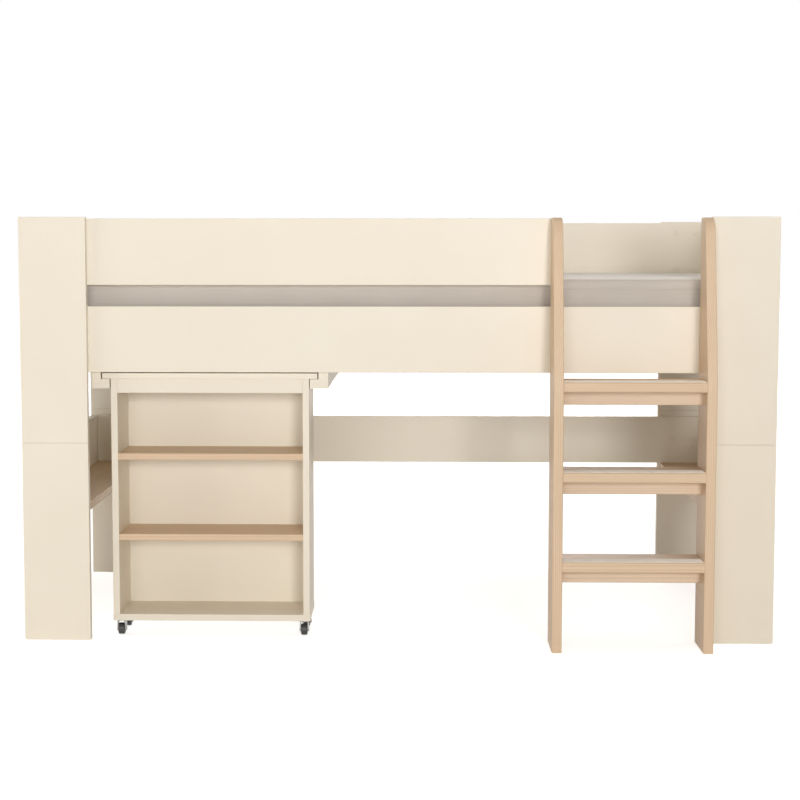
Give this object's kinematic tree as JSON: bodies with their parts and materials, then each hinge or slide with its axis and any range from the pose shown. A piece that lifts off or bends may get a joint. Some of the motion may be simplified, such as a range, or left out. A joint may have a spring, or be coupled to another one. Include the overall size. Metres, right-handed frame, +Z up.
{
  "type": "loft bed",
  "caption": "Mid-height loft bed with slatted base and mattress, flat posts and rails, a ladder with treads, and a desk with bookcase that rolls out from under it.",
  "frame": {"origin": "on the floor, at the middle of the whole footprint with the ladder in it", "axes": "+X along the bed to the ladder's end, -Y to the front where the ladder and the desk are, +Z up"},
  "size_m": [2.053, 1.113, 1.162],
  "materials": {
    "cream_lacquer": "satin cream lacquer on board",
    "pale_wood": "clear satin lacquer on pale wood",
    "raw_pine": "planed, unfinished",
    "dowel_wood": "fluted beech, unfinished",
    "mattress_cover": "woven cover with a ribbed border",
    "grip_strip": "matt, ribbed",
    "zinc_steel": "zinc plated",
    "caster_steel": "pressed steel, plated",
    "caster_tread": "dark grey, satin",
    "cap_plastic": "cream, satin"
  },
  "bodies": {
    "bed_frame": {"front_left_lower_post": "cream_lacquer", "front_left_upper_post": "cream_lacquer", "rear_left_lower_post": "cream_lacquer", "rear_left_upper_post": "cream_lacquer", "left_end_guard_board": "cream_lacquer", "left_end_side_board": "cream_lacquer", "left_end_middle_rail": "cream_lacquer", "left_end_shelf": "pale_wood", "front_right_lower_post": "cream_lacquer", "front_right_upper_post": "cream_lacquer", "rear_right_lower_post": "cream_lacquer", "rear_right_upper_post": "cream_lacquer", "right_end_guard_board": "cream_lacquer", "right_end_side_board": "cream_lacquer", "right_end_middle_rail": "cream_lacquer", "right_end_shelf": "pale_wood", "front_guard_rail": "cream_lacquer", "front_side_rail": "cream_lacquer", "rear_guard_rail": "cream_lacquer", "rear_side_rail": "cream_lacquer", "rear_middle_rail": "cream_lacquer", "left_desk_guide": "cream_lacquer", "right_desk_guide": "cream_lacquer", "slat_bearers": "raw_pine", "bed_slats": "raw_pine", "mattress": "mattress_cover", "frame_dowels": "dowel_wood", "wood_screws": "zinc_steel", "screw_caps": "cap_plastic", "ladder_left_stile": "pale_wood", "ladder_right_stile": "pale_wood", "ladder_tread_1": "pale_wood", "ladder_tread_2": "pale_wood", "ladder_tread_3": "pale_wood", "ladder_tread_supports": "pale_wood", "ladder_grip_strips": "grip_strip"},
    "rolling_desk": {"desktop": "cream_lacquer", "desk_stop": "cream_lacquer", "bookcase_left_side": "cream_lacquer", "bookcase_right_side": "cream_lacquer", "bookcase_bottom": "cream_lacquer", "bookcase_top_rail": "cream_lacquer", "bookcase_back": "cream_lacquer", "bookcase_lower_shelf": "pale_wood", "bookcase_upper_shelf": "pale_wood", "bookcase_dowels": "dowel_wood", "caster_stems": "caster_steel"},
    "front_left_caster": {"front_left_caster_fork": "caster_steel", "front_left_caster_axle": "caster_steel"},
    "front_left_wheel": {"front_left_caster_wheel": "caster_tread"},
    "front_right_caster": {"front_right_caster_fork": "caster_steel", "front_right_caster_axle": "caster_steel"},
    "front_right_wheel": {"front_right_caster_wheel": "caster_tread"},
    "rear_left_caster": {"rear_left_caster_fork": "caster_steel", "rear_left_caster_axle": "caster_steel"},
    "rear_left_wheel": {"rear_left_caster_wheel": "caster_tread"},
    "rear_right_caster": {"rear_right_caster_fork": "caster_steel", "rear_right_caster_axle": "caster_steel"},
    "rear_right_wheel": {"rear_right_caster_wheel": "caster_tread"}
  },
  "joints": [
    {"name": "desk_slide", "type": "slide", "parent": "bed_frame", "child": "rolling_desk", "axis": [0, -1, 0], "range_m": [0, 0.5]},
    {"name": "front_left_swivel", "type": "hinge", "parent": "rolling_desk", "child": "front_left_caster", "pos_m": [-0.77175, -0.3475, 0.038], "axis": [0, 0, 1], "continuous": true},
    {"name": "front_left_spin", "type": "hinge", "parent": "front_left_caster", "child": "front_left_wheel", "pos_m": [-0.77175, -0.3575, 0.016], "axis": [1, 0, 0], "continuous": true},
    {"name": "front_right_swivel", "type": "hinge", "parent": "rolling_desk", "child": "front_right_caster", "pos_m": [-0.25975, -0.3475, 0.038], "axis": [0, 0, 1], "continuous": true},
    {"name": "front_right_spin", "type": "hinge", "parent": "front_right_caster", "child": "front_right_wheel", "pos_m": [-0.25975, -0.3575, 0.016], "axis": [1, 0, 0], "continuous": true},
    {"name": "rear_left_swivel", "type": "hinge", "parent": "rolling_desk", "child": "rear_left_caster", "pos_m": [-0.77175, -0.2415, 0.038], "axis": [0, 0, 1], "continuous": true},
    {"name": "rear_left_spin", "type": "hinge", "parent": "rear_left_caster", "child": "rear_left_wheel", "pos_m": [-0.77175, -0.2515, 0.016], "axis": [1, 0, 0], "continuous": true},
    {"name": "rear_right_swivel", "type": "hinge", "parent": "rolling_desk", "child": "rear_right_caster", "pos_m": [-0.25975, -0.2415, 0.038], "axis": [0, 0, 1], "continuous": true},
    {"name": "rear_right_spin", "type": "hinge", "parent": "rear_right_caster", "child": "rear_right_wheel", "pos_m": [-0.25975, -0.2515, 0.016], "axis": [1, 0, 0], "continuous": true}
  ]
}
